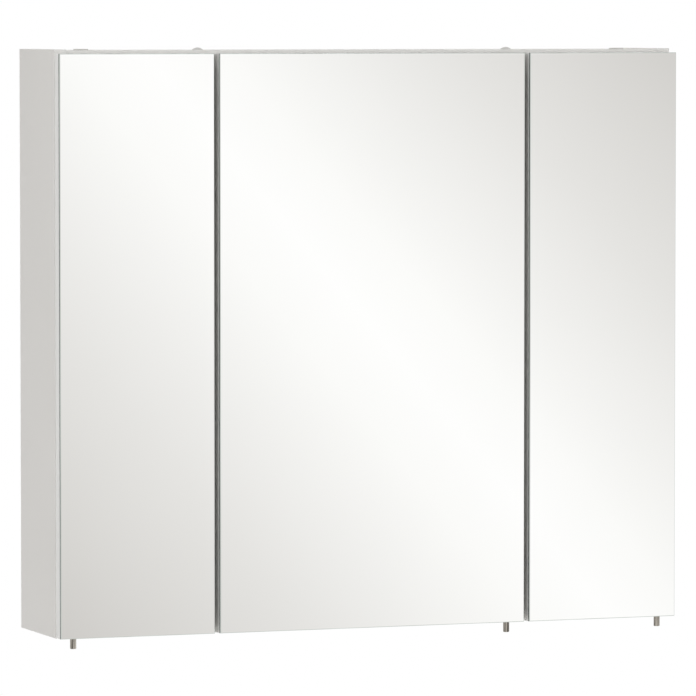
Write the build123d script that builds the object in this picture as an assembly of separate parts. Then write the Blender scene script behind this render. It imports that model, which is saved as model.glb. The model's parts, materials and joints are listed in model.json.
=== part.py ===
from build123d import *
import math
import os

# Wall-hung bathroom cabinet with three mirrored doors, glass shelves and
# adjustable hangers. Millimetres. X to the right, Y to the wall, Z up. The wall
# is the plane Y = 0 and Z = 0 is the line of the two wall screws.

# Overall sizes
WIDTH = 800.0
HEIGHT = 706.0  # of the side panels
DEPTH = 160.0  # wall to mirror face

# Boards
BOARD = 16.0  # carcass panels
TOP_DROP = 1.2  # top panel below the tops of the side panels
BACK_THICK = 3.0
BACK_RECESS = 18.0  # room behind the back panel for the wall plates
GROOVE_DEEP = 6.0
GROOVE_PLAY = 0.2
GROOVE_END = 1.0  # back panel short of the groove's floor

# Doors
DOOR_BOARD = 16.0
GLASS = 4.0  # mirror on the front of each door
ARRIS = 0.8  # ground front edges of the mirrors
MIDDLE_DOOR = 396.0
DOOR_GAP = 7.0
SEAT_GAP = 2.5  # door board to carcass front
DOOR_TOP_DROP = 5.0  # door tops below the tops of the side panels
DOOR_FOOT = 1.0  # door feet above the bottom of the carcass
BUMPER_R = 4.0
BUMPER_IN = 30.0  # bumper from the free edge
BUMPER_FREE = 0.3  # left free in front of the carcass

# Knobs
KNOB_R = 3.75
KNOB_LONG = 13.0
KNOB_IN = 19.0  # knob axis from the free edge
KNOB_SOLID = 3.0  # left solid at the end of the knob
KNOB_CHAMFER = 0.5
STUD_R = 2.0
STUD_BITE = 10.0  # stud in the door board

# Shelves
SHELF_THICK = 5.0
SHELF_FRONT = 9.5  # shelf edge behind the carcass front
SHELF_BACK = 2.0  # shelf edge in front of the back panel
SHELF_SIDE = 1.0
SHELF_SHARES = (1 / 3, 2 / 3)  # of the room's height, to the nearest hole
PIN_PITCH = 32.0
PIN_SPARE = 1  # spare holes above and below each support
PIN_R = 2.45
PIN_FRONT = 32.0  # front row of holes behind the carcass front
PIN_BACK = 22.0  # back row in front of the back panel
FLANGE_THICK = 2.0
FLANGE_HALF = 4.5
FLANGE_DROP = 5.0
TONGUE_LONG = 11.0
TONGUE_HALF = 4.0
TONGUE_DROP = 1.0

# Corner joints
WEB = 1.0  # board left between holes drilled from both faces
FREE = 0.05  # fastener in its hole
HOLE_END = 0.5  # hole past the end of its fastener
JOINT_IN = 50.0  # cams and partition screws from the front edge
CAM_IN = 34.0  # cam centre from the end of the panel
CAM_R = 7.5
CAM_FLOOR = 3.0  # board left under the cam
CAM_SUNK = 0.5
BOLT_R = 3.0
BOLT_BITE = 10.0
DOWEL_R = 4.0
DOWEL_BITE = 10.0
DOWEL_LONG = 30.0
DOWEL_IN = 28.0  # dowels from the front and back edges
COVER_R = 9.0
COVER_HIGH = 1.5
SCREW_HEAD_R = 5.0
SCREW_HEAD = 3.0
SCREW_NECK_R = 3.5
SCREW_R = 2.5
SCREW_LONG = 50.0
CAP_R = 7.25
CAP_HIGH = 3.0
DRIVE_WIDE = 1.2  # cross slots in screw heads
DRIVE_DEEP = 1.2

# Cup hinges, in plan: in from the door's hinge edge, back from the carcass front
CUP_IN = 4.0  # cup from the hinge edge
CUP_R = 17.5
CUP_DEEP = 12.0
CUP_WALL = 1.5
CUP_FLOOR = 1.0
CUP_LIP = 0.8
LIP_OVER = 1.0  # lip round the cup's bore
EAR_IN = 3.5  # ears from the cup's centre
EAR_WIDE = 12.0
EAR_HALF = 28.0
CUP_SCREW_IN = 9.5  # cup screws from the cup's centre
CUP_SCREW_HALF = 22.5
CUP_SCREW_R = 1.75
CUP_SCREW_BITE = 12.0
CUP_HEAD_R = 3.2
CUP_HEAD = 1.4
PIVOT_OUT = 23.5  # arm pivot from the partition face
ARM_CLEAR = 0.6  # arm behind the cup's lip
LINK_HALF = 5.0
LINK_THICK = 2.0
LINK_PLAY = 1.0  # link in the cup's pocket
ELBOW_IN = 12.5  # link's elbow from the near edge of the cup
TIP_R = 2.0
TIP_PLAY = 1.5  # link's tip from the pocket's near wall
TIP_DEEP = 6.0  # link's tip in front of the door's back
EYE_R = 2.6
HINGE_PIN_R = 1.5
ARM_PLAY = 1.5  # link inside the arm's cheeks
ARM_SKIN = 1.5
ARM_BACK = 58.0
ARM_FRONT = 12.0  # front of the arm's web
WEB_THICK = 2.0
CHEEK_DEEP = 9.0
PLATE_THICK = 3.0
PLATE_FRONT = 20.0
PLATE_BACK = 56.0
PLATE_HALF = 7.0
WING_BACK = 38.0  # centre of the plate's wings
WING_WIDE = 14.0
WING_HALF = 24.0
WING_SCREW = 16.0
WING_HEAD_R = 4.0
RIB_OUT = 16.5
RIB_HALF = 5.0
RIB_SHORT = 2.0  # rib short of the plate's ends
ARM_SCREWS = (30.0, 48.0)
ARM_SCREW_R = 2.0
ARM_SCREW_BITE = 9.0
ARM_HEAD_R = 3.5
HEAD_HIGH = 2.0
SIDE_HINGE_IN = 125.0  # hinges from the ends of the narrow doors
MIDDLE_HINGE_IN = 85.0

# Hangers
WALL_PLATE = 60.0
WALL_STEEL = 2.0
WALL_PLATE_IN = 2.0  # plate from the side panel
WALL_PLATE_LOW = 14.0  # plate below its screw
SLOT_IN = 37.0  # screw slot from the plate's outer end
SLOT_R = 2.75
SLOT_LONG = 16.0
LIP_TOP = 22.0  # top of the plate's lip above the screw
LIP_FOOT = 9.0  # middle of the bend under the lip
LIP_OFF = 4.0  # lip off the wall
HOOK_WIDE = 14.0
HOOK_STEEL = 2.0
HOOK_IN = 4.0  # hook from the side panel
HOOK_HELD = 16.0  # hook inside its housing
HOOK_CLAW = 9.0  # claw below the top of the lip
HOOK_PLAY = 0.3
CLAW_PLAY = 1.0  # claw behind the lip
WINDOW_PLAY = 2.0  # hook in the back panel's window
HANGER_OUT = 22.0
HANGER_DEEP = 40.0
HANGER_ABOVE = 34.0  # housing above the wall screw
HANGER_BELOW = 12.0
HANGER_CLEAR = 8.8  # housing under the top panel
HANGER_CHAMFER = 2.0
PEG_R = 4.0
PEG_LONG = 9.0
PEG_ENDS = 10.0  # lower peg from the housing's foot
PEG_UNDER = 8.0  # upper peg below the hook
ADJUST_R = 4.4
ADJUST_LONG = 14.5
ADJUST_SUNK = 1.5
ADJUST_UNDER = (6.0, 21.0)  # screws below the top of the lip

# Places worked out from the sizes above
TOP = HANGER_ABOVE + HANGER_CLEAR + BOARD + TOP_DROP
FOOT = TOP - HEIGHT
HALF = WIDTH / 2
INNER = HALF - BOARD
ROOF = TOP - TOP_DROP  # upper face of the top panel
CEILING = ROOF - BOARD
FLOOR = FOOT + BOARD
FRONT = -(DEPTH - GLASS - DOOR_BOARD - SEAT_GAP)
DOOR_BACK = FRONT - SEAT_GAP
BOARD_FACE = DOOR_BACK - DOOR_BOARD
BACK_FACE = -(BACK_RECESS + BACK_THICK)  # front of the back panel
PART_X = MIDDLE_DOOR / 2 + DOOR_GAP / 2  # partition centres
OVERLAY = BOARD / 2 - DOOR_GAP / 2  # door over the edge of its partition
JOINT_Y = FRONT + JOINT_IN
DOWEL_YS = (FRONT + DOWEL_IN, -DOWEL_IN)
DOOR_TOP = TOP - DOOR_TOP_DROP
DOOR_LOW = FOOT + DOOR_FOOT
SIDE_DOOR = HALF - MIDDLE_DOOR / 2 - DOOR_GAP
BITE = BOARD / 2 - WEB  # pins and screws from either face of a partition
PIN_YS = (FRONT + PIN_FRONT, BACK_FACE - PIN_BACK)
PIN_ZS = [
    FLOOR + PIN_PITCH * round(share * (CEILING - FLOOR) / PIN_PITCH)
    for share in SHELF_SHARES
]
CUP_MID = CUP_IN + CUP_R
POCKET_IN = CUP_IN + CUP_WALL
POCKET_OUT = CUP_IN + 2 * CUP_R - CUP_WALL
POCKET_DEEP = CUP_DEEP - CUP_FLOOR
EYE = (OVERLAY + PIVOT_OUT, CUP_LIP + ARM_CLEAR + EYE_R - SEAT_GAP)
ELBOW = (CUP_IN + ELBOW_IN, LINK_PLAY + LINK_THICK / 2 - POCKET_DEEP - SEAT_GAP)
TIP = (POCKET_IN + TIP_PLAY + TIP_R, -TIP_DEEP - SEAT_GAP)
ARM_HALF = LINK_HALF + ARM_PLAY + ARM_SKIN
PLATE_FACE = OVERLAY + PLATE_THICK
RIB_FACE = OVERLAY + RIB_OUT
WEB_FACE = RIB_FACE + WEB_THICK
HOOK_TOP = LIP_TOP + HOOK_STEEL
HANGER_FRONT = BACK_FACE - HANGER_DEEP
HANGER_MID = INNER - HANGER_OUT / 2
# Compartments behind the doors, between their inner faces
ROOMS = {
    "left": (-INNER, -PART_X - BOARD / 2),
    "middle": (-PART_X + BOARD / 2, PART_X - BOARD / 2),
    "right": (PART_X + BOARD / 2, INNER),
}


def block(x0, x1, y0, y1, z0, z1):
    """A box between two corners, given in any order."""
    centre = ((x0 + x1) / 2, (y0 + y1) / 2, (z0 + z1) / 2)
    return Pos(*centre) * Box(abs(x1 - x0), abs(y1 - y0), abs(z1 - z0))


def rod(start, way, r, long):
    """A cylinder from a point along one of the axes, such as (1, 0, 0)."""
    middle = [p + w * long / 2 for p, w in zip(start, way)]
    turn = Rot(0, 90, 0) if way[0] else Rot(90, 0, 0) if way[1] else Rot(0, 0, 0)
    return Pos(*middle) * turn * Cylinder(r, long)


def prism(points, z0, z1):
    """A plan outline raised between two heights."""
    face = make_face(Polyline(*points, close=True))
    return Pos(0, 0, z0) * extrude(face, amount=z1 - z0, dir=(0, 0, 1))


def strip(points, x0, x1):
    """A (y, z) outline carried along X between two places."""
    face = make_face(Polyline(*[(0, y, z) for y, z in points], close=True))
    return Pos(x0, 0, 0) * extrude(face, amount=x1 - x0, dir=(1, 0, 0))


def cross_slot(top, way, half):
    """Cutters for a cross drive sunk into a screw head from its top."""
    arms = [abs(w) * DRIVE_DEEP for w in way]
    across = [i for i, w in enumerate(way) if not w]
    for long, thin in (across, across[::-1]):
        size = [2 * a for a in arms]
        size[long], size[thin] = 2 * half, DRIVE_WIDE
        yield Pos(*top) * Box(*size)


class Door:
    """One door: its edges, which of them is hinged, and its hinge heights."""

    def __init__(self, name, left, right, hinged_left, hinge_in):
        self.name, self.left, self.right = name, left, right
        self.way = 1 if hinged_left else -1  # hinge edge into the door
        self.hinge = left if hinged_left else right
        self.free = right if hinged_left else left
        self.heights = (DOOR_LOW + hinge_in, DOOR_TOP - hinge_in)
        self.knob = (self.free - self.way * KNOB_IN, (DOOR_BACK + BOARD_FACE) / 2)

    def x(self, into):
        return self.hinge + self.way * into

    def at(self, place, z):
        """A hinge plan place (in from the edge, back from the carcass) at a height."""
        return (self.x(place[0]), FRONT + place[1], z)

    def bar(self, ins, backs, z, half):
        """A box over hinge plan ranges, half its height either side of z."""
        xs, ys = map(self.x, ins), [FRONT + b for b in backs]
        return block(*xs, *ys, z - half, z + half)

    def cup_screws(self):
        x = self.x(CUP_MID + CUP_SCREW_IN)
        return [(x, z + dz) for z in self.heights for dz in (-CUP_SCREW_HALF, CUP_SCREW_HALF)]

    def wing_screws(self, face):
        """Where the hinge plates' screws cross a plane in from the hinge edge."""
        offs = (-WING_SCREW, WING_SCREW)
        return [self.at((face, WING_BACK), z + dz) for z in self.heights for dz in offs]


DOORS = (
    Door("left", -HALF, -HALF + SIDE_DOOR, False, SIDE_HINGE_IN),
    Door("middle", -MIDDLE_DOOR / 2, MIDDLE_DOOR / 2, True, MIDDLE_HINGE_IN),
    Door("right", HALF - SIDE_DOOR, HALF, True, SIDE_HINGE_IN),
)


class Corner:
    """One end of the top (out = 1) or bottom (out = -1) panel, and its joint."""

    def __init__(self, end, out):
        self.end, self.out = end, out
        self.face = ROOF if out == 1 else FOOT
        self.z = self.face - out * BOARD / 2
        self.x = end * INNER
        self.cam = self.x - end * CAM_IN

    def along(self, y, start, long, r):
        """A rod through the joint, from start outside the panel's end, inwards."""
        return rod((self.x + self.end * start, y, self.z), (-self.end, 0, 0), r, long)


CORNERS = [Corner(end, out) for out in (1, -1) for end in (-1, 1)]


# Holes that the panels share with what they hold
def pin_holes(face, way):
    """Rows of shelf-support holes in a panel face; way points into the board."""
    for z in PIN_ZS:
        for k in range(-PIN_SPARE, PIN_SPARE + 1):
            for y in PIN_YS:
                at = (face, y, z + k * PIN_PITCH)
                yield rod(at, (way, 0, 0), PIN_R + FREE, BITE + WEB / 2)


def wing_holes(face, way):
    """Screw holes of the hinge plates that sit on one partition face."""
    for door in DOORS:
        if math.isclose(door.x(OVERLAY), face):
            for at in door.wing_screws(OVERLAY):
                yield rod(at, (way, 0, 0), SCREW_R + FREE, BITE + WEB / 2)


def groove(x0, x1, z0, z1):
    play = GROOVE_PLAY / 2
    return block(x0, x1, BACK_FACE - play, -BACK_RECESS + play, z0, z1)


def corner_holes(corner):
    yield corner.along(JOINT_Y, BOLT_BITE + FREE, BOLT_BITE + CAM_IN, BOLT_R + FREE)
    for y in DOWEL_YS:
        yield corner.along(y, DOWEL_BITE + FREE, DOWEL_LONG + HOLE_END, DOWEL_R + FREE)


# Carcass
def side_panel(end):
    panel = block(end * INNER, end * HALF, FRONT, 0, FOOT, TOP)
    reach = GROOVE_DEEP
    cuts = [
        groove(end * INNER, end * (INNER + reach), FLOOR - reach, CEILING + reach),
        *pin_holes(end * INNER, end),
        *[hole for c in CORNERS if c.end == end for hole in corner_holes(c)],
    ]
    for y, z in hanger_pegs():
        cuts.append(rod((end * INNER, y, z), (end, 0, 0), PEG_R + FREE, PEG_LONG + HOLE_END))
    return panel - cuts


def cross_panel(out):
    inner = CEILING if out == 1 else FLOOR
    face = ROOF if out == 1 else FOOT
    down = (0, 0, -out)
    cuts = [groove(-INNER, INNER, inner, inner + out * GROOVE_DEEP)]
    for corner in CORNERS:
        if corner.out == out:
            at = (corner.cam, JOINT_Y, face)
            cuts += [rod(at, down, CAM_R + FREE, BOARD - CAM_FLOOR), *corner_holes(corner)]
    for x in (-PART_X, PART_X):
        at = (x, JOINT_Y, face)
        cuts.append(rod(at, down, SCREW_HEAD_R + FREE, SCREW_HEAD + CAM_SUNK))
        cuts.append(rod(at, down, SCREW_NECK_R + FREE, BOARD))
    return block(-INNER, INNER, FRONT, 0, face, inner) - cuts


def partition(end):
    x0, x1 = end * PART_X - BOARD / 2, end * PART_X + BOARD / 2
    cuts = [*pin_holes(x0, 1), *pin_holes(x1, -1), *wing_holes(x0, 1), *wing_holes(x1, -1)]
    for z, way in ((CEILING, -1), (FLOOR, 1)):
        at = (end * PART_X, JOINT_Y, z)
        cuts.append(rod(at, (0, 0, way), SCREW_R + FREE, SCREW_LONG - BOARD))
    return block(x0, x1, FRONT, BACK_FACE, FLOOR, CEILING) - cuts


def back_panel():
    reach = GROOVE_DEEP - GROOVE_END
    wide = INNER + reach
    panel = block(-wide, wide, BACK_FACE, -BACK_RECESS, FLOOR - reach, CEILING + reach)
    low, high = LIP_TOP - WINDOW_PLAY, HOOK_TOP + WINDOW_PLAY
    for end in (-1, 1):
        a, b = hook_span(end, WINDOW_PLAY)
        panel -= block(a, b, BACK_FACE, -BACK_RECESS, low, high)
    return panel


# Joint hardware
def cam_locks():
    for corner in CORNERS:
        top = (corner.cam, JOINT_Y, corner.face - corner.out * CAM_SUNK)
        cam = rod(top, (0, 0, -corner.out), CAM_R, BOARD - CAM_FLOOR - CAM_SUNK)
        way_in = corner.along(JOINT_Y, 0, CAM_IN, BOLT_R + HOLE_END)
        yield cam - [way_in, *cross_slot(top, (0, 0, 1), CAM_R / 2)]


def cam_bolts():
    for corner in CORNERS:
        yield corner.along(JOINT_Y, BOLT_BITE, BOLT_BITE + CAM_IN - FREE, BOLT_R)


def dowels():
    for corner in CORNERS:
        for y in DOWEL_YS:
            yield corner.along(y, DOWEL_BITE, DOWEL_LONG, DOWEL_R)


def cam_covers():
    for corner in CORNERS:
        yield rod((corner.cam, JOINT_Y, corner.face), (0, 0, corner.out), COVER_R, COVER_HIGH)


def partition_screws():
    for face, out in ((ROOF, 1), (FOOT, -1)):
        for x in (-PART_X, PART_X):
            start, down = (x, JOINT_Y, face - out * CAM_SUNK), (0, 0, -out)
            screw = rod(start, down, SCREW_R, SCREW_LONG - 2 * CAM_SUNK)
            screw += rod(start, down, SCREW_NECK_R, BOARD - CAM_SUNK)
            screw += rod(start, down, SCREW_HEAD_R, SCREW_HEAD)
            yield screw - [*cross_slot(start, (0, 0, 1), SCREW_NECK_R)]


def screw_caps():
    ball = (CAP_R**2 + CAP_HIGH**2) / (2 * CAP_HIGH)
    for face, out in ((ROOF, 1), (FOOT, -1)):
        for x in (-PART_X, PART_X):
            dome = Pos(x, JOINT_Y, face + out * (CAP_HIGH - ball)) * Sphere(ball)
            ys = (JOINT_Y - ball, JOINT_Y + ball)
            yield dome & block(x - ball, x + ball, *ys, face, face + out * ball)


# Shelves
def shelf(room, z):
    x0, x1 = ROOMS[room]
    under = z + PIN_R
    ys = (FRONT + SHELF_FRONT, BACK_FACE - SHELF_BACK)
    return block(x0 + SHELF_SIDE, x1 - SHELF_SIDE, *ys, under, under + SHELF_THICK)


def shelf_supports(room):
    for z in PIN_ZS:
        for face, way in zip(ROOMS[room], (1, -1)):
            for y in PIN_YS:
                support = rod((face, y, z), (-way, 0, 0), PIN_R, BITE)
                for long, half, drop in (
                    (FLANGE_THICK, FLANGE_HALF, FLANGE_DROP),
                    (TONGUE_LONG, TONGUE_HALF, TONGUE_DROP),
                ):
                    xs, ys = (face, face + way * long), (y - half, y + half)
                    support += block(*xs, *ys, z - drop, z + PIN_R)
                yield support


# Hangers: a housing pegged to the side panel, its hook, and a plate on the wall
def hook_span(end, play=0.0):
    outer = INNER - HOOK_IN
    return sorted((end * (outer + play), end * (outer - HOOK_WIDE - play)))


def hanger_pegs():
    y = BACK_FACE - HANGER_DEEP / 2
    return [(y, PEG_ENDS - HANGER_BELOW), (y, LIP_TOP - PEG_UNDER)]


def hanger_body(end):
    x0, x1 = end * INNER, end * (INNER - HANGER_OUT)
    body = block(x0, x1, BACK_FACE, HANGER_FRONT, -HANGER_BELOW, HANGER_ABOVE)
    body = chamfer(body.edges().filter_by(Axis.Z).group_by(Axis.Y)[0], HANGER_CHAMFER)
    ys = (BACK_FACE, BACK_FACE - HOOK_HELD - HOOK_PLAY)
    zs = (LIP_TOP - HOOK_PLAY, HOOK_TOP + HOOK_PLAY)
    body -= block(*hook_span(end, HOOK_PLAY), *ys, *zs)
    for under in ADJUST_UNDER:
        at = (end * HANGER_MID, HANGER_FRONT, LIP_TOP - under)
        body -= rod(at, (0, 1, 0), ADJUST_R + FREE, ADJUST_SUNK + ADJUST_LONG)
    for y, z in hanger_pegs():
        body += rod((x0, y, z), (end, 0, 0), PEG_R, PEG_LONG)
    return body


def hanger_hook(end):
    front, claw = BACK_FACE - HOOK_HELD, CLAW_PLAY - LIP_OFF
    low = LIP_TOP - HOOK_CLAW
    path = [
        (front, LIP_TOP),
        (claw, LIP_TOP),
        (claw, low),
        (claw + HOOK_STEEL, low),
        (claw + HOOK_STEEL, HOOK_TOP),
        (front, HOOK_TOP),
    ]
    return strip(path, *hook_span(end))


def hanger_screws():
    for end in (-1, 1):
        for under in ADJUST_UNDER:
            head = (end * HANGER_MID, HANGER_FRONT + ADJUST_SUNK, LIP_TOP - under)
            screw = rod(head, (0, 1, 0), ADJUST_R, ADJUST_LONG)
            yield screw - [*cross_slot(head, (0, 1, 0), ADJUST_R / 1.5)]


def wall_plate(end):
    """A flat plate on the wall whose upper part is bent out into a lip."""
    steel, off, bend = WALL_STEEL, LIP_OFF, LIP_OFF / 2
    profile = [
        (0, -WALL_PLATE_LOW),
        (0, LIP_FOOT - bend),
        (-off, LIP_FOOT + bend),
        (-off, LIP_TOP),
        (-off - steel, LIP_TOP),
        (-off - steel, LIP_FOOT + bend - steel / 2),
        (-steel, LIP_FOOT - bend - steel / 2),
        (-steel, -WALL_PLATE_LOW),
    ]
    outer = INNER - WALL_PLATE_IN
    plate = strip(profile, *sorted((end * outer, end * (outer - WALL_PLATE))))
    hole, half = end * (outer - SLOT_IN), SLOT_LONG / 2 - SLOT_R
    plate -= block(hole - half, hole + half, -steel, 0, -SLOT_R, SLOT_R)
    for x in (hole - half, hole + half):
        plate -= rod((x, -steel, 0), (0, 1, 0), SLOT_R, steel)
    return plate


# Cup hinges
def hinge_plates():
    for door in DOORS:
        for z in door.heights:
            ends = (PLATE_FRONT, PLATE_BACK)
            plate = door.bar((OVERLAY, PLATE_FACE), ends, z, PLATE_HALF)
            end = WING_WIDE / 2
            wing = (WING_BACK - end, WING_BACK + end)
            plate += door.bar((OVERLAY, PLATE_FACE), wing, z, WING_HALF - end)
            for dz in (end - WING_HALF, WING_HALF - end):
                at = door.at((OVERLAY, WING_BACK), z + dz)
                plate += rod(at, (door.way, 0, 0), end, PLATE_THICK)
            rib = (PLATE_FRONT + RIB_SHORT, PLATE_BACK - RIB_SHORT)
            plate += door.bar((OVERLAY, RIB_FACE), rib, z, RIB_HALF)
            for at in door.wing_screws(OVERLAY):
                plate -= rod(at, (door.way, 0, 0), SCREW_R + FREE, PLATE_THICK)
            for back in ARM_SCREWS:
                at = door.at((RIB_FACE, back), z)
                plate -= rod(at, (-door.way, 0, 0), ARM_SCREW_R + FREE, ARM_SCREW_BITE + HOLE_END)
            yield plate


def hinge_plate_screws():
    for door in DOORS:
        way = (door.way, 0, 0)
        for at in door.wing_screws(PLATE_FACE):
            head = rod(at, way, WING_HEAD_R, HEAD_HIGH)
            top = (at[0] + door.way * HEAD_HIGH, *at[1:])
            head -= [*cross_slot(top, way, WING_HEAD_R / 1.5)]
            yield head + rod(at, (-door.way, 0, 0), SCREW_R, PLATE_THICK + BITE)


def hinge_arms():
    """Channels over the plates' ribs, whose cheeks reach forward to the pivots."""
    eye_in, eye_back = EYE
    cheek = [
        (RIB_FACE - CHEEK_DEEP, PLATE_FRONT),
        (RIB_FACE - CHEEK_DEEP, ARM_BACK),
        (WEB_FACE, ARM_BACK),
        (WEB_FACE, ARM_FRONT),
        (eye_in + EYE_R, eye_back),
        (eye_in - EYE_R, eye_back),
        (RIB_FACE - EYE_R, ARM_FRONT),
    ]
    for door in DOORS:
        plan = [door.at(place, 0)[:2] for place in cheek]
        for z in door.heights:
            arm = door.bar((RIB_FACE, WEB_FACE), (ARM_FRONT, ARM_BACK), z, ARM_HALF)
            for low in (z - ARM_HALF, z + ARM_HALF - ARM_SKIN):
                arm += prism(plan, low, low + ARM_SKIN)
                arm += rod(door.at(EYE, low), (0, 0, 1), EYE_R, ARM_SKIN)
            arm -= rod(door.at(EYE, z - ARM_HALF), (0, 0, 1), HINGE_PIN_R + FREE, 2 * ARM_HALF)
            for back in ARM_SCREWS:
                at = door.at((RIB_FACE, back), z)
                arm -= rod(at, (door.way, 0, 0), ARM_SCREW_R + FREE, WEB_THICK)
            yield arm


def hinge_arm_screws():
    for door in DOORS:
        way = (door.way, 0, 0)
        for z in door.heights:
            for back in ARM_SCREWS:
                at, top = (door.at((WEB_FACE + up, back), z) for up in (0, HEAD_HIGH))
                head = rod(at, way, ARM_HEAD_R, HEAD_HIGH)
                head -= [*cross_slot(top, way, ARM_HEAD_R / 1.5)]
                yield head + rod(at, (-door.way, 0, 0), ARM_SCREW_R, WEB_THICK + ARM_SCREW_BITE)


def hinge_pins():
    for door in DOORS:
        for z in door.heights:
            yield rod(door.at(EYE, z - ARM_HALF), (0, 0, 1), HINGE_PIN_R, 2 * ARM_HALF)


def hinge_links(door):
    """Bent links from the arm pivots into the cups."""
    half = LINK_THICK / 2
    tall = 2 * LINK_HALF
    for z in door.heights:
        low = z - LINK_HALF
        link = rod(door.at(EYE, low), (0, 0, 1), EYE_R, tall)
        link += rod(door.at(ELBOW, low), (0, 0, 1), half, tall)
        link += rod(door.at(TIP, low), (0, 0, 1), TIP_R, tall)
        for a, b in ((EYE, ELBOW), (ELBOW, TIP)):
            long = math.dist(a, b)
            off = (-(b[1] - a[1]) / long * half, (b[0] - a[0]) / long * half)
            sides = [(p[0] + s * off[0], p[1] + s * off[1]) for p, s in ((a, 1), (b, 1), (b, -1), (a, -1))]
            link += prism([door.at(place, 0)[:2] for place in sides], low, low + tall)
        yield link - rod(door.at(EYE, low), (0, 0, 1), HINGE_PIN_R + FREE, tall)


def hinge_cups(door):
    x = door.x(CUP_MID)
    for z in door.heights:
        cup = rod((x, DOOR_BACK, z), (0, -1, 0), CUP_R, CUP_DEEP)
        cup += rod((x, DOOR_BACK, z), (0, 1, 0), CUP_R + LIP_OVER, CUP_LIP)
        lip = (-SEAT_GAP, CUP_LIP - SEAT_GAP)
        ear, end = CUP_MID + EAR_IN, EAR_WIDE / 2
        cup += door.bar((ear, ear + EAR_WIDE), lip, z, EAR_HALF - end)
        for dz in (end - EAR_HALF, EAR_HALF - end):
            cup += rod((door.x(ear + end), DOOR_BACK, z + dz), (0, 1, 0), end, CUP_LIP)
        pocket = (-SEAT_GAP - POCKET_DEEP, CUP_LIP - SEAT_GAP)
        cup -= door.bar((POCKET_IN, POCKET_OUT), pocket, z, LINK_HALF + LINK_PLAY)
        for a, b in door.cup_screws():
            cup -= rod((a, DOOR_BACK, b), (0, 1, 0), CUP_SCREW_R + FREE, CUP_LIP)
        yield cup


def cup_screws(door):
    for a, b in door.cup_screws():
        y = DOOR_BACK + CUP_LIP
        head = rod((a, y, b), (0, 1, 0), CUP_HEAD_R, CUP_HEAD)
        head -= [*cross_slot((a, y + CUP_HEAD, b), (0, 1, 0), CUP_HEAD_R / 1.5)]
        yield head + rod((a, y, b), (0, -1, 0), CUP_SCREW_R, CUP_LIP + CUP_SCREW_BITE)


# Doors
def door_board(door):
    board = block(door.left, door.right, DOOR_BACK, BOARD_FACE, DOOR_LOW, DOOR_TOP)
    inward = (0, -1, 0)
    for a, b in door.cup_screws():
        board -= rod((a, DOOR_BACK, b), inward, CUP_SCREW_R + FREE, CUP_SCREW_BITE + HOLE_END)
    for z in door.heights:
        board -= rod((door.x(CUP_MID), DOOR_BACK, z), inward, CUP_R + FREE, CUP_DEEP + FREE)
    return board - rod((*door.knob, DOOR_LOW), (0, 0, 1), STUD_R + FREE, STUD_BITE + HOLE_END)


def mirror(door):
    glass = block(door.left, door.right, BOARD_FACE, -DEPTH, DOOR_LOW, DOOR_TOP)
    return chamfer(glass.faces().sort_by(Axis.Y)[0].edges(), ARRIS)


def knob(door):
    bar = rod((*door.knob, DOOR_LOW), (0, 0, -1), KNOB_R, KNOB_LONG)
    bar = chamfer(bar.edges().sort_by(Axis.Z)[0], KNOB_CHAMFER)
    return bar - rod((*door.knob, DOOR_LOW), (0, 0, -1), STUD_R + FREE, KNOB_LONG - KNOB_SOLID)


def knob_stud(door):
    in_knob = KNOB_LONG - KNOB_SOLID - HOLE_END
    return rod((*door.knob, DOOR_LOW - in_knob), (0, 0, 1), STUD_R, in_knob + STUD_BITE)


def bumpers(door):
    x = door.free - door.way * BUMPER_IN
    for z in ((CEILING + min(ROOF, DOOR_TOP)) / 2, (FLOOR + DOOR_LOW) / 2):
        yield rod((x, DOOR_BACK, z), (0, 1, 0), BUMPER_R, SEAT_GAP - BUMPER_FREE)


NODES = {
    "left_side_panel": [side_panel(-1)],
    "right_side_panel": [side_panel(1)],
    "top_panel": [cross_panel(1)],
    "bottom_panel": [cross_panel(-1)],
    "left_partition": [partition(-1)],
    "right_partition": [partition(1)],
    "back_panel": [back_panel()],
    "cam_locks": cam_locks(),
    "cam_bolts": cam_bolts(),
    "dowels": dowels(),
    "cam_covers": cam_covers(),
    "partition_screws": partition_screws(),
    "screw_caps": screw_caps(),
    "left_hanger_body": [hanger_body(-1)],
    "right_hanger_body": [hanger_body(1)],
    "left_hanger_hook": [hanger_hook(-1)],
    "right_hanger_hook": [hanger_hook(1)],
    "hanger_screws": hanger_screws(),
    "left_wall_plate": [wall_plate(-1)],
    "right_wall_plate": [wall_plate(1)],
    "hinge_plates": hinge_plates(),
    "hinge_plate_screws": hinge_plate_screws(),
    "hinge_arms": hinge_arms(),
    "hinge_arm_screws": hinge_arm_screws(),
    "hinge_pins": hinge_pins(),
}
for room in ROOMS:
    NODES[f"{room}_lower_shelf"] = [shelf(room, PIN_ZS[0])]
    NODES[f"{room}_upper_shelf"] = [shelf(room, PIN_ZS[1])]
    NODES[f"{room}_shelf_supports"] = shelf_supports(room)
for door in DOORS:
    NODES[f"{door.name}_door_board"] = [door_board(door)]
    NODES[f"{door.name}_mirror"] = [mirror(door)]
    NODES[f"{door.name}_hinge_cups"] = hinge_cups(door)
    NODES[f"{door.name}_cup_screws"] = cup_screws(door)
    NODES[f"{door.name}_hinge_links"] = hinge_links(door)
    NODES[f"{door.name}_knob"] = [knob(door)]
    NODES[f"{door.name}_knob_stud"] = [knob_stud(door)]
    NODES[f"{door.name}_bumpers"] = bumpers(door)

os.makedirs("parts", exist_ok=True)
for node, pieces in NODES.items():
    solids = [solid for piece in pieces for solid in piece.solids()]
    shape = solids[0] if len(solids) == 1 else Compound(solids)
    export_step(shape, f"parts/{node}.step")
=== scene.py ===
"""Looks of a wall-hung bathroom cabinet with three mirrored doors.

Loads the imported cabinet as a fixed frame, finishes every board, glass, hinge and
fastener, and sets up the studio and the camera. Metres, X to the right, Y to the
wall, Z up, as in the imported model.
"""

from __future__ import annotations

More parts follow.
